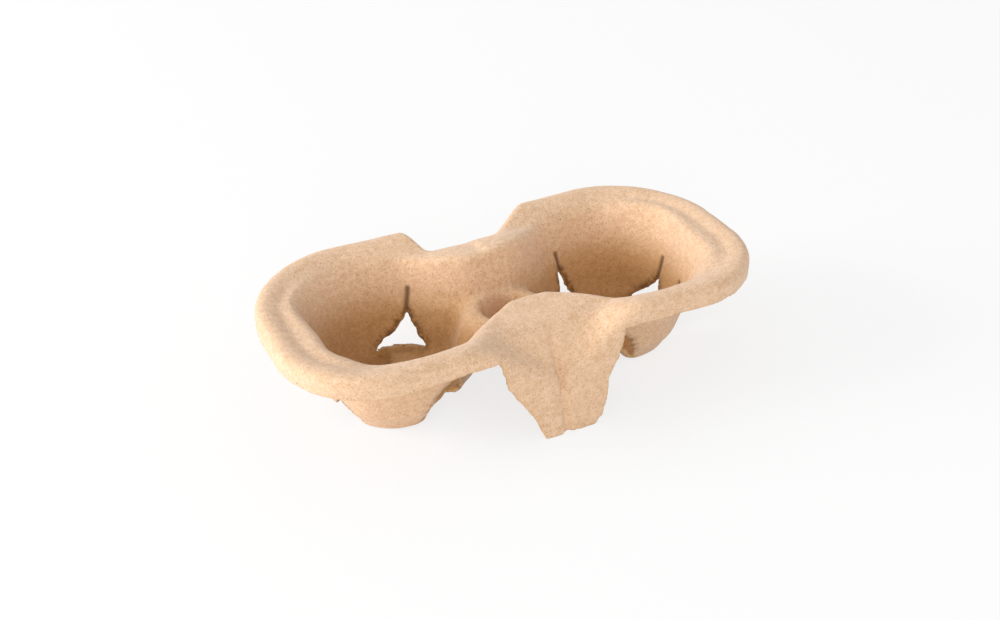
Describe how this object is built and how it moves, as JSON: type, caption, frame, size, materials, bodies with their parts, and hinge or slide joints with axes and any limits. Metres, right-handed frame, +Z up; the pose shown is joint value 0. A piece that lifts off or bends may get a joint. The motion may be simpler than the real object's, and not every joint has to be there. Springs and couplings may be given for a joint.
{
  "type": "cup carrier",
  "caption": "Moulded pulp carrier that holds paper cups side by side in deep wells with torn petal walls and a rolled rim.",
  "frame": {"origin": "on the table under the middle of the carrier", "axes": "+X from cup to cup, along the length; +Z up"},
  "size_m": [0.218, 0.11, 0.05],
  "materials": {
    "pulp": "matte, rough moulded pulp in kraft brown"
  },
  "bodies": {
    "root": {"cup_carrier": "pulp"}
  },
  "joints": []
}
